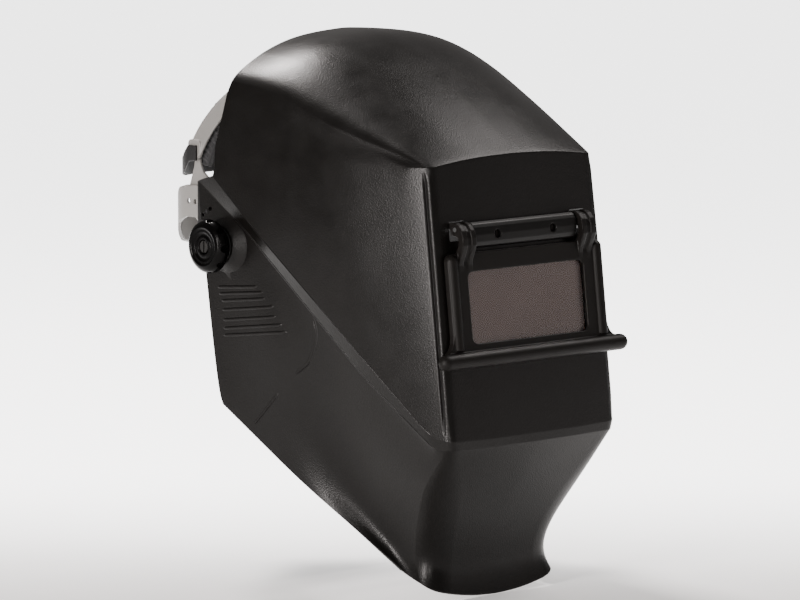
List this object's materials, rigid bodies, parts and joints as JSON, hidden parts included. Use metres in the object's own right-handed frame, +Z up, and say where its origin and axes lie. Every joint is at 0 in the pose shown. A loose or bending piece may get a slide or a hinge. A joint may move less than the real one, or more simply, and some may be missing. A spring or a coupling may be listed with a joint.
{
  "type": "welding helmet",
  "caption": "Black welding helmet: angular moulded shell, lift-front lens holder with handle bar, side tension knobs, grey ratchet headgear with crown strap and brow pad.",
  "frame": {"origin": "on the helmet's centre plane, 12.5 mm in front of and 3.2 mm above the line through the two tilt pivots", "axes": "+Z up, front of the helmet faces -Y, the wearer's right side is -X"},
  "size_m": [0.251, 0.3156, 0.3552],
  "materials": {
    "shell_plastic": "fine leather grain, slight sheen",
    "frame_plastic": "smooth satin moulding",
    "black_plastic": "satin",
    "knob_plastic": "semi gloss",
    "grey_plastic": "satin polyethylene",
    "black_screw": "black oxide",
    "zinc": "zinc plated",
    "stud_steel": "dark plated",
    "spring_steel": "drawn wire",
    "brass_insert": "turned",
    "gasket": "matt",
    "clear_plate": "clear polycarbonate",
    "filter_glass": "shade 10 welding glass",
    "sweatband": "terry cloth over foam",
    "pad_foam": "cloth faced foam"
  },
  "bodies": {
    "headgear": {"headband": "grey_plastic", "sweatband": "sweatband", "bracket_rivets_right": "zinc", "pivot_bracket_right": "black_plastic", "pivot_stud_right": "stud_steel", "crown_strap_right": "grey_plastic", "bracket_rivets_left": "zinc", "pivot_bracket_left": "black_plastic", "pivot_stud_left": "stud_steel", "crown_strap_left": "grey_plastic", "crown_button": "black_plastic", "crown_pad": "pad_foam", "rear_strap": "black_plastic", "band_guide_right": "black_plastic", "band_guide_left": "black_plastic"},
    "shell_body": {"shell": "shell_plastic", "hinge_bar": "frame_plastic", "hinge_bar_screws": "black_screw", "hinge_bar_nuts": "zinc", "lens_holder": "frame_plastic", "fixed_gasket": "gasket", "safety_plate": "clear_plate", "fixed_retainer": "spring_steel", "stop_arm_right": "black_plastic", "pivot_washer_right": "gasket", "stop_arm_left": "black_plastic", "pivot_washer_left": "gasket"},
    "lift_front": {"lift_frame": "frame_plastic", "hinge_rod": "zinc", "cover_plate": "clear_plate", "lift_gasket": "gasket", "filter_plate": "filter_glass", "lift_retainer": "spring_steel"},
    "tension_knob_right": {"tension_knob_right": "knob_plastic", "knob_insert_right": "brass_insert"},
    "tension_knob_left": {"tension_knob_left": "knob_plastic", "knob_insert_left": "brass_insert"},
    "rear_band": {"rear_band_right": "grey_plastic", "rear_band_left": "grey_plastic", "ratchet_housing": "black_plastic", "ratchet_cover": "black_plastic", "nape_pad": "pad_foam"},
    "ratchet": {"ratchet_knob": "knob_plastic", "ratchet_pinion": "black_plastic", "ratchet_screw": "zinc"}
  },
  "joints": [
    {"name": "shell_tilt", "type": "hinge", "parent": "headgear", "child": "shell_body", "pos_m": [0, 0.0125, -0.0032], "axis": [-1, 0, 0], "range_deg": [0, 62]},
    {"name": "lift_front", "type": "hinge", "parent": "shell_body", "child": "lift_front", "pos_m": [0, -0.1518, 0.01663], "axis": [-1, 0, 0], "range_deg": [0, 115]},
    {"name": "tension_knob_right", "type": "hinge", "parent": "headgear", "child": "tension_knob_right", "pos_m": [-0.12, 0.0125, -0.0032], "axis": [-1, 0, 0], "range_deg": [0, 360]},
    {"name": "tension_knob_left", "type": "hinge", "parent": "headgear", "child": "tension_knob_left", "pos_m": [0.12, 0.0125, -0.0032], "axis": [1, 0, 0], "range_deg": [0, 360]},
    {"name": "rear_band_slide", "type": "slide", "parent": "headgear", "child": "rear_band", "axis": [0, 1, 0], "range_m": [0, 0.022]},
    {"name": "ratchet_turn", "type": "hinge", "parent": "rear_band", "child": "ratchet", "pos_m": [0, 0.138, -0.008], "axis": [0, 1, 0], "range_deg": [0, 180]}
  ],
  "couplings": [
    {"joint": "ratchet_turn", "follows": "rear_band_slide", "rad_per_m": 142.5}
  ]
}
